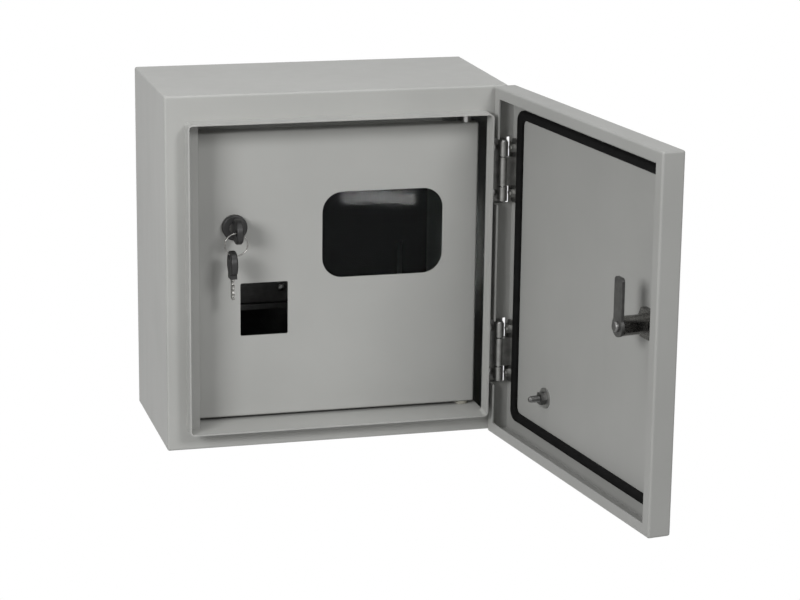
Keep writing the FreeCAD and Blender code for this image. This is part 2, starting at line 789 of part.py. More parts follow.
def bracket_screw_places():
    """Where the brackets' feet are screwed to the board."""
    reach = bracket_span / 2 + bracket_foot / 2
    return [(bracket_centre(side), breaker_rail_z + end * reach) for side in (1, -1) for end in (1, -1)]


def make_din_rail():
    """Top-hat rail that a breaker clips on."""
    x = (breaker_rail_x - rail_length / 2, breaker_rail_x + rail_length / 2)
    z = breaker_rail_z
    half_crown = rail_crown / 2
    pieces = [block(x, (rail_back - rail_sheet, rail_back), (z - half_crown, z + half_crown))]
    for side in (1, -1):
        wall_z = (z + side * (half_crown - rail_sheet), z + side * half_crown)
        brim_z = (z + side * (half_crown - rail_sheet), z + side * rail_width / 2)
        pieces.append(block(x, (rail_front, rail_back), wall_z))
        pieces.append(block(x, (rail_front, rail_front + rail_sheet), brim_z))
    holes = [rod(Vec(bracket_centre(side), rail_back - rail_sheet, z), Y_AXIS, rail_sheet, m4_radius)
             for side in (1, -1)]
    return join(pieces).cut(Part.makeCompound(holes))


def make_rail_bracket(side):
    """Folded hat bracket between the board and the rail."""
    x = (bracket_centre(side) - bracket_width / 2, bracket_centre(side) + bracket_width / 2)
    z = breaker_rail_z
    half = bracket_span / 2
    pieces = [block(x, (rail_back, rail_back + bracket_sheet), (z - half, z + half))]
    for end in (1, -1):
        pieces.append(block(x, (rail_back, board_front), (z + end * (half - bracket_sheet), z + end * half)))
        pieces.append(block(x, (board_front - bracket_sheet, board_front),
                            (z + end * (half - bracket_sheet), z + end * (half + bracket_foot))))
    cuts = [rod(Vec(bracket_centre(side), rail_back, z), Y_AXIS, bracket_sheet, m4_radius)]
    for screw_x, screw_z in bracket_screw_places():
        cuts.append(rod(Vec(screw_x, board_front - bracket_sheet, screw_z), Y_AXIS, bracket_sheet, m4_radius))
    return join(pieces).cut(Part.makeCompound(cuts))


def make_rail_screws():
    """Screws that hold the rail on its brackets."""
    return Part.makeCompound([screw(Vec(bracket_centre(side), rail_back - rail_sheet, breaker_rail_z), Y_AXIS,
                                    m4_head_radius, m4_head_height, m4_radius,
                                    rail_sheet + bracket_sheet + m4_tail) for side in (1, -1)])


def make_bracket_screws():
    """Screws that hold the brackets' feet on the board."""
    return Part.makeCompound([screw(Vec(x, board_front - bracket_sheet, z), Y_AXIS, m4_head_radius,
                                    m4_head_height, m4_radius, bracket_sheet + board_thickness + m4_tail)
                              for x, z in bracket_screw_places()])


def make_grommet(step):
    """Turned rubber grommet: a groove round the sheet's edge and a closed cone that hangs below."""
    inside = -wall_inside_z
    below = -half_height
    tip = below - grommet_flange - grommet_cone_length
    groove = grommet_groove_radius
    profile = [(groove - grommet_wall, inside + grommet_flange), (grommet_flange_radius, inside + grommet_flange),
               (grommet_flange_radius, inside), (groove, inside), (groove, below), (grommet_flange_radius, below),
               (grommet_flange_radius, below - grommet_flange), (groove, below - grommet_flange),
               (grommet_tip_radius, tip), (0, tip), (0, tip + grommet_wall),
               (grommet_tip_radius - grommet_wall, tip + grommet_wall), (groove - grommet_wall, below)]
    points = [Vec(radius, 0, z) for radius, z in profile]
    turned = Part.Face(Part.makePolygon(points + points[:1])).revolve(Vec(0, 0, 0), Z_AXIS, 360)
    turned.translate(Vec(step * grommet_spacing, grommet_y, 0))
    return turned


def fixed_pieces():
    """Everything that stays on the wall."""
    earth = make_earth_set(Vec(wall_inside_x, body_earth_y, body_earth_z), Vec(-1, 0, 0))
    upper, lower = hinge_centres
    return {
        "body_shell": make_body_shell(),
        "inner_frame": make_inner_frame(),
        "meter_board": make_meter_board(),
        "board_standoffs": make_board_standoffs(),
        "board_screws": make_board_screws(),
        "din_rail": make_din_rail(),
        "left_rail_bracket": make_rail_bracket(-1),
        "right_rail_bracket": make_rail_bracket(1),
        "rail_screws": make_rail_screws(),
        "bracket_screws": make_bracket_screws(),
        "left_cable_grommet": make_grommet(-1),
        "middle_cable_grommet": make_grommet(0),
        "right_cable_grommet": make_grommet(1),
        "body_earth_stud": earth[0],
        "body_earth_washer": earth[1],
        "body_earth_nut": earth[2],
        "upper_hinge_frame_leaf": make_hinge_frame_leaf(upper),
        "lower_hinge_frame_leaf": make_hinge_frame_leaf(lower),
        "upper_hinge_pin": make_hinge_pin(upper),
        "lower_hinge_pin": make_hinge_pin(lower),
        "hinge_screws": make_hinge_screws(),
        "hinge_nuts": make_hinge_nuts(),
    }


def inner_door_pieces():
    """The inner door with its glazing, lock, key and spare key."""
    barrel = make_lock_barrel(inner_lock_x, inner_lock_z, plug_face, inner_head_height, inner_head_radius,
                              inner_cam_front - plug_shoulder, inner_barrel_radius, inner_barrel_flats,
                              inner_plug_radius)
    return {
        "inner_door": make_inner_door(),
        "upper_pivot_pin": make_upper_pivot_pin(),
        "lower_pivot_pin": make_pivot_pin(inner_bottom, -1, inner_gap_bottom),
        "pivot_washers": make_pivot_washers(),
        "window_pane": make_window_pane(),
        "window_retainer": make_window_retainer(),
        "window_studs": make_window_studs(),
        "window_nuts": make_window_nuts(),
        "inner_lock_barrel": barrel,
        "inner_lock_nut": nut(inner_nut_flats, Vec(inner_lock_x, inner_back, inner_lock_z), Y_AXIS,
                              inner_nut_height, inner_barrel_radius),
        "inner_lock_plug": make_lock_plug(inner_lock_x, inner_lock_z, plug_face, inner_cam_front,
                                          inner_cam_thickness, inner_plug_radius),
        "inner_lock_cam": make_cam(inner_lock_x, inner_lock_z, inner_cam_front, inner_cam_thickness,
                                   inner_cam_reach, inner_cam_width),
        "inner_lock_cam_screw": make_cam_screw(inner_lock_x, inner_lock_z, inner_cam_front, inner_cam_thickness),
        "lock_key": in_lock(make_key_blade()),
        "lock_key_head": in_lock(make_key_head()),
        "key_ring": make_key_ring(),
        "spare_key": on_ring(make_key_blade()),
        "spare_key_head": on_ring(make_key_head()),
    }


def outer_door_pieces():
    """The outer door with its seal, hinge leaves, earth stud and lock, as it stands when shut."""
    upper, lower = hinge_centres
    head_front = skin_front - outer_head_height
    earth_place = Vec(half_width - door_earth_inset, skin_back, -half_height + door_earth_rise)
    earth = make_earth_set(earth_place, Y_AXIS)
    barrel = make_lock_barrel(outer_lock_x, outer_lock_z, head_front, outer_head_height, outer_head_radius,
                              outer_cam_front - plug_shoulder, outer_barrel_radius, outer_barrel_flats,
                              outer_plug_radius)
    return {
        "outer_door": make_outer_door(),
        "door_gasket": make_door_gasket(),
        "upper_hinge_door_leaf": make_hinge_door_leaf(upper),
        "lower_hinge_door_leaf": make_hinge_door_leaf(lower),
        "door_hinge_studs": make_door_hinge_studs(),
        "door_hinge_nuts": make_door_hinge_nuts(),
        "door_earth_stud": earth[0],
        "door_earth_washer": earth[1],
        "door_earth_nut": earth[2],
        "outer_lock_barrel": barrel,
        "outer_lock_nut": nut(outer_nut_flats, Vec(outer_lock_x, skin_back, outer_lock_z), Y_AXIS,
                              outer_nut_height, outer_barrel_radius),
        "outer_lock_plug": make_lock_plug(outer_lock_x, outer_lock_z, head_front, outer_cam_front,
                                          outer_cam_thickness, outer_plug_radius),
        "outer_lock_cam": make_cam(outer_lock_x, outer_lock_z, outer_cam_front, outer_cam_thickness,
                                   outer_cam_reach, outer_cam_width),
        "outer_lock_cam_screw": make_cam_screw(outer_lock_x, outer_lock_z, outer_cam_front, outer_cam_thickness),
    }


def main():
    os.makedirs("parts", exist_ok=True)
    pieces = fixed_pieces()
    pieces.update(inner_door_pieces())
    pieces.update({name: swing_open(shape) for name, shape in outer_door_pieces().items()})
    for name, shape in pieces.items():
        if not shape.isValid():
            raise ValueError("bad solid: " + name)
        shape.exportStep("parts/" + name + ".step")


main()
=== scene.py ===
import json
import math

import bmesh
import bpy
from bpy.props import FloatProperty, FloatVectorProperty, IntProperty, PointerProperty
from mathutils import Matrix, Vector


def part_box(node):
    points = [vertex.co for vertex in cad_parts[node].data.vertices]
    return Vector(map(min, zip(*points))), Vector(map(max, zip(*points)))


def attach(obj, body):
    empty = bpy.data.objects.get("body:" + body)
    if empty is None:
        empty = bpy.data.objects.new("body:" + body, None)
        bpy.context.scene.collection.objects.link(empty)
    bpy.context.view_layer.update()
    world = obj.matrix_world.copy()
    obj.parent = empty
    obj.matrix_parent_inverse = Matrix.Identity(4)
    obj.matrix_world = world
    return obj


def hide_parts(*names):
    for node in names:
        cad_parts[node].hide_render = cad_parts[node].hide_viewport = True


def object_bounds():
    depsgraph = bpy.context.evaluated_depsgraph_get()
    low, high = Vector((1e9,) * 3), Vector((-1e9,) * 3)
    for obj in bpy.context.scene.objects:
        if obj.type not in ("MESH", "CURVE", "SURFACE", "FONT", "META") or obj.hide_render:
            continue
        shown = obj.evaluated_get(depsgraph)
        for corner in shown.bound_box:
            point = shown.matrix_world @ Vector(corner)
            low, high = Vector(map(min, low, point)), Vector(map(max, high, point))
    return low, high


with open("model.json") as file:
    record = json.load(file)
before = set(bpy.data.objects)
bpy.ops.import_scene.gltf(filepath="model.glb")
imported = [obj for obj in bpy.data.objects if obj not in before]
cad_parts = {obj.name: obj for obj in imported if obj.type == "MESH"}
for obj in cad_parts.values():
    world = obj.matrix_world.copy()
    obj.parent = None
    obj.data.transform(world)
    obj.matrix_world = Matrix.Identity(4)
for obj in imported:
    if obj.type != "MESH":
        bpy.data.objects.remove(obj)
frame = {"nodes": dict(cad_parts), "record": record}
cad_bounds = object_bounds()

bl_info = {
    "name": "Electric Meter Box Looks",
    "version": (1, 0, 0),
    "blender": (4, 5, 0),
    "location": "View3D > Sidebar > Meter Box",
    "description": "Dresses the packed meter box with paint, metal, rubber and glazing, and lights it",
    "category": "Object",
}

# Degrees that the outer door stands open at rest.
DOOR_ANGLE = 98.0

# Metres under which two corners are one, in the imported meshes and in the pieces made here.
PACKED_MERGE = 1e-6
MADE_MERGE = 1e-7

# Angle from which an edge is shaded as sharp.
SHARP_ANGLE = math.radians(35.0)

# How a grain is drawn out: below 1 along an axis makes it longer that way.
EVEN = (1.0, 1.0, 1.0)
ALONG_X = (0.08, 1.0, 1.0)
UPRIGHT = (1.0, 1.0, 0.12)

WHITE = (1.0, 1.0, 1.0, 1.0)
UP = (0.0, 0.0, 1.0)
ORIGIN = (0.0, 0.0, 0.0)

# Steps in a full turn of a screw, a stud's core and the split ring, in a screw head's dome and round the wire.
SCREW_STEPS = 40
CORE_STEPS = 32
RING_STEPS = 48
DOME_STEPS = 8
WIRE_SIDES = 12

# A screw's brim and its recess's depth as shares of the head's height.
BRIM_HEIGHT = 0.45
RECESS_DEPTH = 0.55

# The chamfer of a screw's tip as a share of the shank's radius.
TIP_CHAMFER = 0.3

# A recess's width and span as shares of the head's radius, and the size of its floor beside its mouth.
RECESS_WIDTH = 0.24
RECESS_SPAN = 1.2
RECESS_TAPER = 0.6

# A stud's thread and chamfer as shares of the pitch, the ridge's foot as a share of the core's radius, and the
# turns that stay plain.
THREAD_DEPTH = 0.6
STUD_CHAMFER = 0.7
RIDGE_ROOT = 0.98
PLAIN_TURNS = 2

# Width in millimetres of the camera's sensor.
SENSOR_WIDTH = 36.0

# Slot, finish, colour setting, how light it is beside that colour, roughness and grain of each metal.
METALS = (
    ("zinc_steel", "zinc_plating", "zinc_colour", 1.0, 0.34, EVEN),
    # Painted shade: the rail's zinc at a fifth of its colour stands for the shade inside the box behind the
    # cut-out.
    ("rail_steel", "rail_zinc", "zinc_colour", 0.2, 0.55, ALONG_X),
    # The hinges' dark colour is partly painted shade of the shaded strip they sit in.
    ("hinge_metal", "hinge_casting", "hinge_and_shade_colour", 1.0, 0.46, EVEN),
    ("cam_steel", "cam_zinc", "zinc_colour", 0.4, 0.38, EVEN),
    ("lock_metal", "lock_nickel", "nickel_colour", 0.6, 0.26, EVEN),
    ("key_metal", "key_nickel", "nickel_colour", 1.0, 0.24, EVEN),
    ("earth_brass", "earth_brass", "brass_colour", 1.0, 0.3, EVEN),
)

# Slot, finish and width of a cell of each rubber.
RUBBERS = (
    ("gasket_rubber", "gasket_foam", 0.0009),
    ("grommet_rubber", "grommet_rubber", 0.0005),
)

# Slot, finish, colour setting, how light it is beside that colour, and roughness of each dull or moulded piece.
MOULDINGS = (
    ("lock_black", "lock_head_black", "plastic_colour", 1.4, 0.42),
    ("key_black", "key_head_black", "plastic_colour", 1.0, 0.4),
    # The board's near black also serves as painted shade of the box's interior.
    ("board_black", "board_black", "board_and_shade_colour", 1.0, 0.7),
    ("retainer_steel", "retainer_black", "plastic_colour", 1.0, 0.55),
    ("washer_plastic", "washer_nylon", "washer_colour", 1.0, 0.45),
)


class MeterBoxPaint(bpy.types.PropertyGroup):
    """Powder coat of the folded sheet steel."""
    colour: FloatVectorProperty(
        name="Coat Colour", description="Warm light grey of the powder coat", subtype="COLOR", size=3,
        min=0.0, max=1.0, default=(0.40, 0.402, 0.388))
    mottle: FloatProperty(
        name="Mottle", description="How much the grey varies over a sheet", subtype="FACTOR",
        min=0.0, max=0.3, default=0.035)
    mottle_width: FloatProperty(
        name="Mottle Width", description="Width of one patch of the mottle", unit="LENGTH", min=0.005, max=0.5,
        default=0.09)
    # Painted shade: the outer door's coat is darker than the box's to stand for the lesser light on the open door.
    door_painted_shade: FloatProperty(
        name="Outer Door Shade", description="How light the outer door's coat is beside the box's",
        subtype="FACTOR", min=0.5, max=1.0, default=0.86)
    roughness: FloatProperty(
        name="Roughness", description="Middle roughness of the coat", subtype="FACTOR",
        min=0.0, max=1.0, default=0.5)
    wipe_roughness: FloatProperty(
        name="Wipe Roughness", description="How much wipe marks change the roughness", subtype="FACTOR",
        min=0.0, max=0.3, default=0.025)
    wipe_width: FloatProperty(
        name="Wipe Width", description="Width of one wipe mark", unit="LENGTH", min=0.001, max=0.1, default=0.012)
    sheen: FloatProperty(
        name="Sheen", description="How strongly the coat mirrors", subtype="FACTOR", min=0.0, max=1.0, default=0.4)
    grain: FloatProperty(
        name="Orange Peel Size", description="Width of one bump of the orange peel", unit="LENGTH",
        min=0.0002, max=0.01, default=0.0014)
    grain_depth: FloatProperty(
        name="Orange Peel Depth", description="Height of the orange peel", unit="LENGTH",
        min=0.0, max=0.001, default=0.00003)


class MeterBoxHardware(bpy.types.PropertyGroup):
    """Metal of the hinges, locks, keys and fasteners."""
    zinc_colour: FloatVectorProperty(
        name="Zinc Colour", description="Colour of zinc-plated steel", subtype="COLOR", size=3,
        min=0.0, max=1.0, default=(0.42, 0.42, 0.41))
    # Dark partly as painted shade: the hinges' colour is lowered to stand for the shade of the strip between the
    # box and the open door.
    hinge_and_shade_colour: FloatVectorProperty(
        name="Hinge Colour", description="Colour of the cast hinge leaves", subtype="COLOR", size=3,
        min=0.0, max=1.0, default=(0.26, 0.26, 0.25))
    nickel_colour: FloatVectorProperty(
        name="Nickel Colour", description="Colour of the plated locks, keys and ring", subtype="COLOR", size=3,
        min=0.0, max=1.0, default=(0.34, 0.335, 0.32))
    brass_colour: FloatVectorProperty(
        name="Brass Colour", description="Colour of the body's earth stud", subtype="COLOR", size=3,
        min=0.0, max=1.0, default=(0.60, 0.42, 0.16))
    thread_pitch: FloatProperty(
        name="Thread Pitch", description="Pitch of the earth studs' thread", unit="LENGTH",
        min=0.0004, max=0.003, default=0.001)
    thread_steps: IntProperty(
        name="Thread Steps", description="Steps in one turn of the thread", min=8, max=64, default=20)
    m4_head_height: FloatProperty(
        name="M4 Head Height", description="Height of an M4 screw head", unit="LENGTH", min=0.001, max=0.004,
        default=0.0022)
    m4_shank_radius: FloatProperty(
        name="M4 Shank Radius", description="Radius of an M4 screw", unit="LENGTH", min=0.001, max=0.003,
        default=0.002)
    m5_head_height: FloatProperty(
        name="M5 Head Height", description="Height of an M5 screw head", unit="LENGTH", min=0.001, max=0.005,
        default=0.003)
    m5_shank_radius: FloatProperty(
        name="M5 Shank Radius", description="Radius of an M5 screw", unit="LENGTH", min=0.001, max=0.004,
        default=0.0025)
    ring_wire: FloatProperty(
        name="Ring Wire Radius", description="Radius of the split ring's wire", unit="LENGTH", min=0.0002,
        max=0.001, default=0.00045)
    ring_turns: FloatProperty(
        name="Ring Turns", description="Turns of wire in the split ring", min=1.0, max=3.0, default=1.9)


class MeterBoxSoft(bpy.types.PropertyGroup):
    """Rubber, plastic and glazing."""
    rubber_colour: FloatVectorProperty(
        name="Rubber Colour", description="Colour of the gasket and the grommets", subtype="COLOR", size=3,
        min=0.0, max=1.0, default=(0.006, 0.006, 0.006))
    plastic_colour: FloatVectorProperty(
        name="Black Plastic Colour", description="Colour of the lock head and the key heads", subtype="COLOR",
        size=3, min=0.0, max=1.0, default=(0.016, 0.016, 0.016))
    # Near black partly as painted shade: the dark board stands for the shade inside the closed box, seen through
    # the window and the cut-out.
    board_and_shade_colour: FloatVectorProperty(
        name="Board Colour", description="Colour of the insulating meter board", subtype="COLOR", size=3,
        min=0.0, max=1.0, default=(0.028, 0.028, 0.029))
    pane_colour: FloatVectorProperty(
        name="Pane Colour", description="Tint of the window pane", subtype="COLOR", size=3,
        min=0.0, max=1.0, default=(0.50, 0.53, 0.53))
    pane_index: FloatProperty(
        name="Pane Index", description="Index of refraction of the pane, low so that it mirrors little",
        min=1.0, max=2.0, default=1.12)
    washer_colour: FloatVectorProperty(
        name="Washer Colour", description="Colour of the inner door's nylon washers", subtype="COLOR", size=3,
        min=0.0, max=1.0, default=(0.36, 0.35, 0.30))


class MeterBoxStage(bpy.types.PropertyGroup):
    """Camera, lamps and floor."""
    camera_place: FloatVectorProperty(
        name="Camera Place", description="Where the camera stands", subtype="XYZ", unit="LENGTH", size=3,
        default=(-0.5155, -2.2501, 0.5448))
    camera_yaw: FloatProperty(
        name="Camera Yaw", description="Turn of the view to the right of straight ahead", subtype="ANGLE",
        default=math.radians(15.214))
    camera_pitch: FloatProperty(
        name="Camera Pitch", description="Downward tilt of the view", subtype="ANGLE",
        default=math.radians(14.833))
    camera_roll: FloatProperty(
        name="Camera Roll", description="Roll of the view", subtype="ANGLE", default=math.radians(0.734))
    lens: FloatProperty(
        name="Lens", description="Focal length in millimetres on a 36 mm sensor", min=10.0, max=400.0,
        default=116.49)
    floor_drop: FloatProperty(
        name="Floor Drop", description="How far the floor lies under the box", unit="LENGTH",
        min=0.0, max=3.0, default=0.9)
    floor_span: FloatProperty(
        name="Floor Span", description="Half the width of the floor", unit="LENGTH", min=1.0, max=100.0,
        default=40.0)
    floor_colour: FloatVectorProperty(
        name="Floor Colour", description="Colour of the floor where it throws light back", subtype="COLOR", size=3,
        min=0.0, max=1.0, default=(0.85, 0.85, 0.84))
    lamp_target: FloatVectorProperty(
        name="Lamp Target", description="Point that the large lamps face", subtype="XYZ", unit="LENGTH", size=3,
        default=(0.0, -0.15, 0.0))
    front_lamp_size: FloatProperty(
        name="Front Lamp Size", description="Width and height of the lamps at the left and the right",
        unit="LENGTH", min=0.01, max=5.0, default=0.6)
    key_place: FloatVectorProperty(
        name="Key Lamp Place", description="Where the lamp at the left stands", subtype="XYZ", unit="LENGTH",
        size=3, default=(-1.3, -1.3, 0.65))
    key_power: FloatProperty(
        name="Key Lamp", description="Power of the lamp at the left", unit="POWER", min=0.0, default=20.4)
    fill_place: FloatVectorProperty(
        name="Fill Lamp Place", description="Where the lamp at the right stands", subtype="XYZ", unit="LENGTH",
        size=3, default=(0.8, -2.2, 1.3))
    fill_power: FloatProperty(
        name="Fill Lamp", description="Power of the lamp at the right", unit="POWER", min=0.0, default=19.4)
    top_lamp_size: FloatProperty(
        name="Top Lamp Size", description="Width and depth of the lamp overhead", unit="LENGTH", min=0.01, max=5.0,
        default=1.0)
    top_place: FloatVectorProperty(
        name="Top Lamp Place", description="Where the lamp overhead hangs", subtype="XYZ", unit="LENGTH", size=3,
        default=(-0.1, -0.35, 1.6))
    top_power: FloatProperty(
        name="Top Lamp", description="Power of the lamp overhead", unit="POWER", min=0.0, default=9.6)
    glint_place: FloatVectorProperty(
        name="Glint Lamp Place", description="Where the strip that the window mirrors stands", subtype="XYZ",
        unit="LENGTH", size=3, default=(0.339, -1.262, -0.206))
    glint_target: FloatVectorProperty(
        name="Glint Target", description="Point of the window that mirrors the strip", subtype="XYZ",
        unit="LENGTH", size=3, default=(0.042, -0.129, 0.055))
    glint_width: FloatProperty(
        name="Glint Lamp Width", description="Width of the strip", unit="LENGTH", min=0.001, max=1.0,
        default=0.095)
    glint_height: FloatProperty(
        name="Glint Lamp Height", description="Height of the strip", unit="LENGTH", min=0.001, max=1.0,
        default=0.014)
    glint_power: FloatProperty(
        name="Glint Lamp", description="Power of the strip that the window mirrors", unit="POWER", min=0.0,
        default=0.16)
    ambient: FloatProperty(
        name="Ambient", description="Strength of the even light from all round", min=0.0, max=2.0, default=0.16)


def finish_slot(slot, material):
    """Give every node of one material slot its finish."""
    names = [subpart["node"] for subpart in frame["record"]["subparts"] if subpart["material_slot"] == slot]
    if not names:
        raise RuntimeError("no node has the material slot " + slot)
    for name in names:
        materials = frame["nodes"][name].data.materials
        materials.clear()
        materials.append(material)


def new_material(name):
    """A fresh node material and its shader."""
    material = bpy.data.materials.new(name)
    material.use_nodes = True
    return material, material.node_tree, material.node_tree.nodes["Principled BSDF"]


def noise(tree, width, detail, stretch=EVEN):
    """Noise on object coordinates whose features have a given width."""
    coords = tree.nodes.new("ShaderNodeTexCoord")
    mapping = tree.nodes.new("ShaderNodeMapping")
    mapping.inputs["Scale"].default_value = stretch
    texture = tree.nodes.new("ShaderNodeTexNoise")
    texture.inputs["Scale"].default_value = 1.0 / width
    texture.inputs["Detail"].default_value = detail
    tree.links.new(coords.outputs["Object"], mapping.inputs["Vector"])
    tree.links.new(mapping.outputs["Vector"], texture.inputs["Vector"])
    return texture.outputs["Fac"]


def spread(tree, value, low, high, start=0.3, end=0.7):
    """Map a noise to a range of one number."""
    node = tree.nodes.new("ShaderNodeMapRange")
    node.inputs["From Min"].default_value = start
    node.inputs["From Max"].default_value = end
    node.inputs["To Min"].default_value = low
    node.inputs["To Max"].default_value = high
    tree.links.new(value, node.inputs["Value"])
    return node.outputs["Result"]


def tones(tree, value, dark, light, start=0.3, end=0.7):
    """Map a noise to a blend of two colours."""
    node = tree.nodes.new("ShaderNodeValToRGB")
    node.color_ramp.elements[0].position = start
    node.color_ramp.elements[0].color = (*dark, 1.0)
    node.color_ramp.elements[1].position = end
    node.color_ramp.elements[1].color = (*light, 1.0)
    tree.links.new(value, node.inputs["Fac"])
    return node.outputs["Color"]


def bump(tree, shader, height, depth):
    """Raise the surface by a noise."""
    node = tree.nodes.new("ShaderNodeBump")
    node.inputs["Distance"].default_value = depth
    tree.links.new(height, node.inputs["Height"])
    tree.links.new(node.outputs["Normal"], shader.inputs["Normal"])


def scaled(colour, factor):
    """A colour made lighter or darker."""
    return tuple(min(1.0, channel * factor) for channel in colour)


def powder_coat(name, paint, shade=1.0):
    """Grey powder coat: orange peel, a slight mottle and faint upright wipe marks; a shade below 1 darkens the
    whole coat as painted shade.
    """
    material, tree, shader = new_material(name)
    colour = scaled(paint.colour, shade)
    mottle = noise(tree, paint.mottle_width, detail=5.0)
    mottled = tones(tree, mottle, scaled(colour, 1.0 - paint.mottle), scaled(colour, 1.0 + paint.mottle))
    tree.links.new(mottled, shader.inputs["Base Color"])
    wipes = noise(tree, paint.wipe_width, detail=4.0, stretch=UPRIGHT)
    wiped = spread(tree, wipes, paint.roughness - paint.wipe_roughness, paint.roughness + paint.wipe_roughness)
    tree.links.new(wiped, shader.inputs["Roughness"])
    shader.inputs["Specular IOR Level"].default_value = paint.sheen
    bump(tree, shader, noise(tree, paint.grain, detail=2.0), paint.grain_depth)
    return material


def plated(name, colour, roughness, brush, shade=0.72, smoother=0.08, rougher=0.1):
    """Plated metal with a fine brushed or tumbled grain and some dull patches."""
    material, tree, shader = new_material(name)
    shader.inputs["Metallic"].default_value = 1.0
    patches = noise(tree, width=0.006, detail=4.0)
    tree.links.new(tones(tree, patches, scaled(colour, shade), colour), shader.inputs["Base Color"])
    grain = noise(tree, width=0.0007, detail=3.0, stretch=brush)
    grained = spread(tree, grain, roughness - smoother, roughness + rougher)
    tree.links.new(grained, shader.inputs["Roughness"])
    bump(tree, shader, grain, depth=0.00002)
    return material


def moulded(name, colour, roughness, dark=0.8, light=1.5, smoother=0.06, rougher=0.08, sheen=0.35):
    """Moulded plastic, or a dull coat, with a fine eroded grain."""
    material, tree, shader = new_material(name)
    cloud = noise(tree, width=0.01, detail=3.0)
    tree.links.new(tones(tree, cloud, scaled(colour, dark), scaled(colour, light)), shader.inputs["Base Color"])
    tree.links.new(spread(tree, cloud, roughness - smoother, roughness + rougher), shader.inputs["Roughness"])
    shader.inputs["Specular IOR Level"].default_value = sheen
    bump(tree, shader, noise(tree, width=0.0006, detail=2.0), depth=0.00002)
    return material


def foam_rubber(name, colour, cell, dark=0.6, light=1.6, sheen=0.08):
    """Dull black rubber with small cells in its skin, each an eighth as deep as it is wide."""
    material, tree, shader = new_material(name)
    cloud = noise(tree, width=0.008, detail=4.0)
    tree.links.new(tones(tree, cloud, scaled(colour, dark), scaled(colour, light)), shader.inputs["Base Color"])
    tree.links.new(spread(tree, cloud, low=0.72, high=0.9), shader.inputs["Roughness"])
    shader.inputs["Specular IOR Level"].default_value = sheen
    bump(tree, shader, noise(tree, cell, detail=4.0), cell / 8)
    return material


def clear_pane(name, colour, index, sheen=0.05):
    """Clear window pane with a trace of dust."""
    material, tree, shader = new_material(name)
    shader.inputs["Base Color"].default_value = (*colour, 1.0)
    shader.inputs["Transmission Weight"].default_value = 1.0
    shader.inputs["IOR"].default_value = index
    shader.inputs["Specular IOR Level"].default_value = sheen
    dust = noise(tree, width=0.02, detail=5.0)
    tree.links.new(spread(tree, dust, low=0.01, high=0.06), shader.inputs["Roughness"])
    return material


def link(piece):
    """Put a finished piece in the scene."""
    bpy.context.scene.collection.objects.link(piece)
    return piece


def piece_from(bm, name, material):
    """Close a bmesh into an object with smooth faces and outward normals."""
    bmesh.ops.remove_doubles(bm, verts=bm.verts, dist=MADE_MERGE)
    bmesh.ops.recalc_face_normals(bm, faces=bm.faces)
    for face in bm.faces:
        face.smooth = True
    mesh = bpy.data.meshes.new(name)
    bm.to_mesh(mesh)
    bm.free()
    mesh.materials.append(material)
    mesh.set_sharp_from_angle(angle=SHARP_ANGLE)
    return link(bpy.data.objects.new(name, mesh))


def solids_of(node):
    """Lowest and highest corner of each separate solid in a node."""
    bm = bmesh.new()
    bm.from_mesh(frame["nodes"][node].data)
    bmesh.ops.remove_doubles(bm, verts=bm.verts, dist=PACKED_MERGE)
    waiting = set(bm.verts)
    boxes = []
    while waiting:
        reach = [waiting.pop()]
        corners = []
        while reach:
            vert = reach.pop()
            corners.append(vert.co.copy())
            for edge in vert.link_edges:
                other = edge.other_vert(vert)
                if other in waiting:
                    waiting.discard(other)
                    reach.append(other)
        low = Vector([min(corner[axis] for corner in corners) for axis in range(3)])
        high = Vector([max(corner[axis] for corner in corners) for axis in range(3)])
        boxes.append((low, high))
    bm.free()
    if not boxes:
        raise RuntimeError("no solid in the node " + node)
    return boxes


def lathe(bm, profile, steps):
    """Turn a line of (radius, height) points about Z."""
    verts = [bm.verts.new((radius, 0.0, height)) for radius, height in profile]
    edges = [bm.edges.new(pair) for pair in zip(verts, verts[1:])]
    bmesh.ops.spin(bm, geom=verts + edges, cent=ORIGIN, axis=UP, angle=math.tau, steps=steps, use_merge=True)


def stand(bm, foot, axis):
    """Set a piece made along Z on its foot, along an axis."""
    turn = Vector(UP).rotation_difference(axis).to_matrix().to_4x4()
    bmesh.ops.transform(bm, matrix=Matrix.Translation(foot) @ turn, verts=bm.verts)


def gather(bm, part):
    """Add one finished part to a piece."""
    mesh = bpy.data.meshes.new("part")
    part.to_mesh(mesh)
    part.free()
    bm.from_mesh(mesh)
    bpy.data.meshes.remove(mesh)


def cross_recess(bm, height, width, span, depth):
    """Press a tapered cross into the top of a screw head."""
    for offset in (-span / 2, -width / 2, width / 2, span / 2):
        for side in (Vector((1.0, 0.0, 0.0)), Vector((0.0, 1.0, 0.0))):
            everything = bm.verts[:] + bm.edges[:] + bm.faces[:]
            bmesh.ops.bisect_plane(bm, geom=everything, plane_co=side * offset, plane_no=side)
    pressed = []
    for face in bm.faces:
        middle = face.calc_center_median()
        reach = sorted((abs(middle.x), abs(middle.y)))
        if middle.z > height / 2 and reach[0] < width / 2 and reach[1] < span / 2:
            pressed.append(face)
    if not pressed:
        raise RuntimeError("the cross recess found no faces")
    moved = bmesh.ops.extrude_face_region(bm, geom=pressed)["geom"]
    floor = [item for item in moved if isinstance(item, bmesh.types.BMVert)]
    bmesh.ops.translate(bm, verts=floor, vec=(0.0, 0.0, -depth))
    bmesh.ops.scale(bm, verts=floor, vec=(RECESS_TAPER, RECESS_TAPER, 1.0))


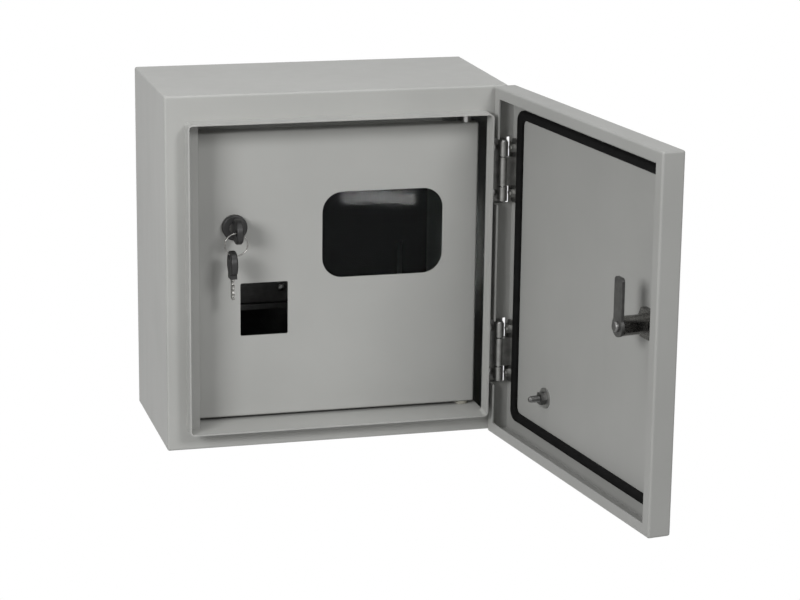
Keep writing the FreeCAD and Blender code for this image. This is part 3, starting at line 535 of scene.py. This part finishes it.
def pan_head_screw(head_radius, head_height, shank_radius, length):
    """Domed screw along Z with its seat at the origin, its head above and its shank below."""
    bm = bmesh.new()
    brim = head_height * BRIM_HEIGHT
    dome = []
    for step in range(DOME_STEPS + 1):
        angle = math.radians(90.0 - step * 90.0 / DOME_STEPS)
        dome.append((head_radius * math.cos(angle), brim + (head_height - brim) * math.sin(angle)))
    tip = shank_radius * TIP_CHAMFER
    rest = [(head_radius, 0.0), (shank_radius, 0.0), (shank_radius, tip - length), (shank_radius - tip, -length),
            (0.0, -length)]
    lathe(bm, dome + rest, SCREW_STEPS)
    bmesh.ops.remove_doubles(bm, verts=bm.verts, dist=MADE_MERGE)
    cross_recess(bm, head_height, head_radius * RECESS_WIDTH, head_radius * RECESS_SPAN,
                 head_height * RECESS_DEPTH)
    return bm


def threaded_stud(radius, length, pitch, steps):
    """Stud along Z with a chamfered tip and a helical ridge."""
    bm = bmesh.new()
    core = radius - pitch * THREAD_DEPTH
    tip = core - pitch * STUD_CHAMFER
    lathe(bm, [(0.0, 0.0), (core, 0.0), (core, length - pitch), (tip, length), (0.0, length)], CORE_STEPS)
    ridge = bmesh.new()
    root = core * RIDGE_ROOT
    places = ((root, 0.0, 0.0), (radius, 0.0, pitch / 2), (root, 0.0, pitch))
    face = ridge.faces.new([ridge.verts.new(place) for place in places])
    turns = int(length / pitch) - PLAIN_TURNS
    if turns < 1:
        raise RuntimeError("the stud is too short for its thread")
    bmesh.ops.spin(ridge, geom=ridge.verts[:] + ridge.edges[:] + [face], cent=ORIGIN, axis=UP,
                   dvec=(0.0, 0.0, pitch / steps), angle=math.tau * turns, steps=steps * turns)
    gather(bm, ridge)
    return bm


class METERBOX_OT_sheet_paint(bpy.types.Operator):
    """Give the folded sheet steel its grey powder coat"""
    bl_idname = "meter_box.sheet_paint"
    bl_label = "Paint Sheet Steel"

    def execute(self, context):
        paint = context.scene.meter_box_paint
        for slot in ("body_paint", "frame_paint", "inner_door_paint"):
            finish_slot(slot, powder_coat(slot + "_coat", paint))
        # The outer door gets the same coat darkened by its painted shade.
        finish_slot("outer_door_paint", powder_coat("outer_door_paint_coat", paint, paint.door_painted_shade))
        return {"FINISHED"}


class METERBOX_OT_plate_hardware(bpy.types.Operator):
    """Give the hinges, fasteners, rail, locks and keys their plating"""
    bl_idname = "meter_box.plate_hardware"
    bl_label = "Plate Hardware"

    def execute(self, context):
        metal = context.scene.meter_box_hardware
        for slot, name, setting, light, roughness, brush in METALS:
            finish_slot(slot, plated(name, scaled(getattr(metal, setting), light), roughness, brush))
        return {"FINISHED"}


class METERBOX_OT_soft_parts(bpy.types.Operator):
    """Give the seals, plastic pieces, board and pane their finish"""
    bl_idname = "meter_box.soft_parts"
    bl_label = "Finish Rubber and Plastic"

    def execute(self, context):
        soft = context.scene.meter_box_soft
        for slot, name, cell in RUBBERS:
            finish_slot(slot, foam_rubber(name, soft.rubber_colour, cell))
        for slot, name, setting, light, roughness in MOULDINGS:
            finish_slot(slot, moulded(name, scaled(getattr(soft, setting), light), roughness))
        finish_slot("window_clear", clear_pane("window_pane_clear", soft.pane_colour, soft.pane_index))
        return {"FINISHED"}


class METERBOX_OT_screws(bpy.types.Operator):
    """Shape the cross-recess screws of the hinges, the board, the rail and its brackets"""
    bl_idname = "meter_box.screws"
    bl_label = "Shape Screws"

    def execute(self, context):
        metal = context.scene.meter_box_hardware
        for node in ("hinge_screws", "rail_screws", "bracket_screws", "board_screws"):
            m5 = node == "board_screws"
            head_height = metal.m5_head_height if m5 else metal.m4_head_height
            shank_radius = metal.m5_shank_radius if m5 else metal.m4_shank_radius
            bm = bmesh.new()
            for low, high in solids_of(node):
                head_radius = (high.x - low.x) / 2
                part = pan_head_screw(head_radius, head_height, shank_radius, high.y - low.y - head_height)
                seat = Vector((low.x + head_radius, low.y + head_height, low.z + head_radius))
                stand(part, seat, Vector((0.0, -1.0, 0.0)))
                gather(bm, part)
            piece = piece_from(bm, node + "_crossed", frame["nodes"][node].data.materials[0])
            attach(piece, "box")
            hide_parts(node)
        return {"FINISHED"}


class METERBOX_OT_earth_studs(bpy.types.Operator):
    """Cut the threads of the two earth studs"""
    bl_idname = "meter_box.earth_studs"
    bl_label = "Thread Earth Studs"

    def execute(self, context):
        metal = context.scene.meter_box_hardware
        swing = math.radians(DOOR_ANGLE)
        inward = Vector((-math.sin(swing), math.cos(swing), 0.0))
        for node, body, slot, axis in (("body_earth_stud", "box", "earth_brass", Vector((-1.0, 0.0, 0.0))),
                                       ("door_earth_stud", "outer_door", "cam_steel", inward)):
            low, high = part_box(node)
            middle = (Vector(low) + Vector(high)) / 2
            radius = (high[2] - low[2]) / 2
            points = [vert.co.dot(axis) for vert in frame["nodes"][node].data.vertices]
            length = max(points) - min(points)
            bm = threaded_stud(radius, length, metal.thread_pitch, metal.thread_steps)
            stand(bm, middle - axis * length / 2, axis)
            piece = piece_from(bm, node + "_threaded", frame["nodes"][node].data.materials[0])
            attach(piece, body)
            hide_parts(node)
        return {"FINISHED"}


class METERBOX_OT_split_ring(bpy.types.Operator):
    """Wind the split ring that carries the keys"""
    bl_idname = "meter_box.split_ring"
    bl_label = "Wind Split Ring"

    def execute(self, context):
        metal = context.scene.meter_box_hardware
        low, high = (Vector(corner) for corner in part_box("key_ring"))
        inside = (high.x - low.x) / 2 - (high.y - low.y)
        if inside <= 0.0:
            raise RuntimeError("the split ring has no room inside")
        pitch = 2 * metal.ring_wire
        steps = int(RING_STEPS * metal.ring_turns)
        bm = bmesh.new()
        start = Matrix.Translation((inside + metal.ring_wire, -pitch * metal.ring_turns / 2, 0.0))
        bmesh.ops.create_circle(bm, cap_ends=True, radius=metal.ring_wire, segments=WIRE_SIDES, matrix=start)
        bmesh.ops.spin(bm, geom=bm.verts[:] + bm.edges[:] + bm.faces[:], cent=ORIGIN, axis=(0.0, 1.0, 0.0),
                       dvec=(0.0, pitch * metal.ring_turns / steps, 0.0), angle=math.tau * metal.ring_turns,
                       steps=steps)
        bmesh.ops.translate(bm, verts=bm.verts, vec=(low + high) / 2)
        piece = piece_from(bm, "split_key_ring", frame["nodes"]["key_ring"].data.materials[0])
        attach(piece, "key_ring")
        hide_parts("key_ring")
        return {"FINISHED"}


def camera_matrix(stage):
    """Camera place and turn from its yaw, pitch and roll."""
    yaw, pitch, roll = stage.camera_yaw, stage.camera_pitch, stage.camera_roll
    forward = Vector((math.sin(yaw) * math.cos(pitch), math.cos(yaw) * math.cos(pitch), -math.sin(pitch)))
    level = Vector((math.cos(yaw), -math.sin(yaw), 0.0))
    upright = level.cross(forward)
    right = level * math.cos(roll) + upright * math.sin(roll)
    up = right.cross(forward)
    turn = Matrix((right, up, -forward)).transposed().to_4x4()
    return Matrix.Translation(stage.camera_place) @ turn


def seen_directly(tree):
    """1 for rays from the camera, straight, mirrored or through a pane, 0 for light on a surface."""
    path = tree.nodes.new("ShaderNodeLightPath")
    seen = path.outputs["Is Camera Ray"]
    for kind in ("Is Glossy Ray", "Is Transmission Ray"):
        most = tree.nodes.new("ShaderNodeMath")
        most.operation = "MAXIMUM"
        tree.links.new(seen, most.inputs[0])
        tree.links.new(path.outputs[kind], most.inputs[1])
        seen = most.outputs[0]
    return seen


def pale_floor_material(colour):
    """Pale floor that reads white like the background of the photograph."""
    material, tree, shader = new_material("pale_floor")
    shader.inputs["Base Color"].default_value = (*colour, 1.0)
    shader.inputs["Roughness"].default_value = 0.9
    shader.inputs["Specular IOR Level"].default_value = 0.0
    glow = tree.nodes.new("ShaderNodeEmission")
    glow.inputs["Color"].default_value = WHITE
    mix = tree.nodes.new("ShaderNodeMixShader")
    tree.links.new(seen_directly(tree), mix.inputs["Fac"])
    tree.links.new(shader.outputs["BSDF"], mix.inputs[1])
    tree.links.new(glow.outputs["Emission"], mix.inputs[2])
    tree.links.new(mix.outputs["Shader"], tree.nodes["Material Output"].inputs["Surface"])
    return material


def soft_lamp(name, place, target, width, height, power):
    """Softbox that faces a point."""
    data = bpy.data.lights.new(name, "AREA")
    data.shape = "RECTANGLE"
    data.size = width
    data.size_y = height
    data.energy = power
    lamp = link(bpy.data.objects.new(name, data))
    aim = Vector(target) - Vector(place)
    lamp.matrix_world = Matrix.Translation(place) @ aim.to_track_quat("-Z", "Y").to_matrix().to_4x4()


def studio_world(ambient):
    """White to look at, and an even grey light on the object."""
    world = bpy.data.worlds.new("studio")
    world.use_nodes = True
    tree = world.node_tree
    background = tree.nodes["Background"]
    background.inputs["Color"].default_value = WHITE
    level = tree.nodes.new("ShaderNodeMapRange")
    level.inputs["To Min"].default_value = ambient
    level.inputs["To Max"].default_value = 1.0
    tree.links.new(seen_directly(tree), level.inputs["Value"])
    tree.links.new(level.outputs["Result"], background.inputs["Strength"])
    return world


class METERBOX_OT_stage(bpy.types.Operator):
    """Set up the camera, the lamps, the floor and the background"""
    bl_idname = "meter_box.stage"
    bl_label = "Set Up Stage"

    def execute(self, context):
        stage = context.scene.meter_box_stage
        scene = context.scene
        scene.view_settings.view_transform = "Standard"
        scene.world = studio_world(stage.ambient)
        data = bpy.data.cameras.new("front_left_camera")
        data.sensor_width = SENSOR_WIDTH
        data.lens = stage.lens
        camera = link(bpy.data.objects.new("front_left_camera", data))
        camera.matrix_world = camera_matrix(stage)
        scene.camera = camera
        bm = bmesh.new()
        bmesh.ops.create_grid(bm, x_segments=1, y_segments=1, size=stage.floor_span)
        bmesh.ops.translate(bm, verts=bm.verts, vec=(0.0, 0.0, cad_bounds[0][2] - stage.floor_drop))
        piece_from(bm, "floor", pale_floor_material(stage.floor_colour))
        lamps = (("key_lamp", stage.key_place, stage.front_lamp_size, stage.key_power),
                 ("fill_lamp", stage.fill_place, stage.front_lamp_size, stage.fill_power),
                 ("top_lamp", stage.top_place, stage.top_lamp_size, stage.top_power))
        for name, place, side, power in lamps:
            soft_lamp(name, place, stage.lamp_target, side, side, power)
        soft_lamp("glint_lamp", stage.glint_place, stage.glint_target, stage.glint_width, stage.glint_height,
                  stage.glint_power)
        return {"FINISHED"}


SETTINGS = {
    MeterBoxPaint: "meter_box_paint",
    MeterBoxHardware: "meter_box_hardware",
    MeterBoxSoft: "meter_box_soft",
    MeterBoxStage: "meter_box_stage",
}

OPERATORS = (
    METERBOX_OT_sheet_paint,
    METERBOX_OT_plate_hardware,
    METERBOX_OT_soft_parts,
    METERBOX_OT_screws,
    METERBOX_OT_earth_studs,
    METERBOX_OT_split_ring,
    METERBOX_OT_stage,
)


class METERBOX_PT_looks(bpy.types.Panel):
    """Sizes, colours and build steps of the meter box"""
    bl_idname = "METERBOX_PT_looks"
    bl_label = "Meter Box"
    bl_space_type = "VIEW_3D"
    bl_region_type = "UI"
    bl_category = "Meter Box"

    def draw(self, context):
        for group, setting in SETTINGS.items():
            box = self.layout.box()
            for name in group.__annotations__:
                box.prop(getattr(context.scene, setting), name)
        for operator in OPERATORS:
            self.layout.operator(operator.bl_idname)


def register():
    for group, name in SETTINGS.items():
        bpy.utils.register_class(group)
        setattr(bpy.types.Scene, name, PointerProperty(type=group))
    for item in (*OPERATORS, METERBOX_PT_looks):
        bpy.utils.register_class(item)


def unregister():
    for item in reversed((*OPERATORS, METERBOX_PT_looks)):
        bpy.utils.unregister_class(item)
    for group, name in SETTINGS.items():
        delattr(bpy.types.Scene, name)
        bpy.utils.unregister_class(group)


def main():
    register()
    bpy.ops.meter_box.sheet_paint()
    bpy.ops.meter_box.plate_hardware()
    bpy.ops.meter_box.soft_parts()
    bpy.ops.meter_box.screws()
    bpy.ops.meter_box.earth_studs()
    bpy.ops.meter_box.split_ring()
    bpy.ops.meter_box.stage()


if __name__ == "__main__":
    main()
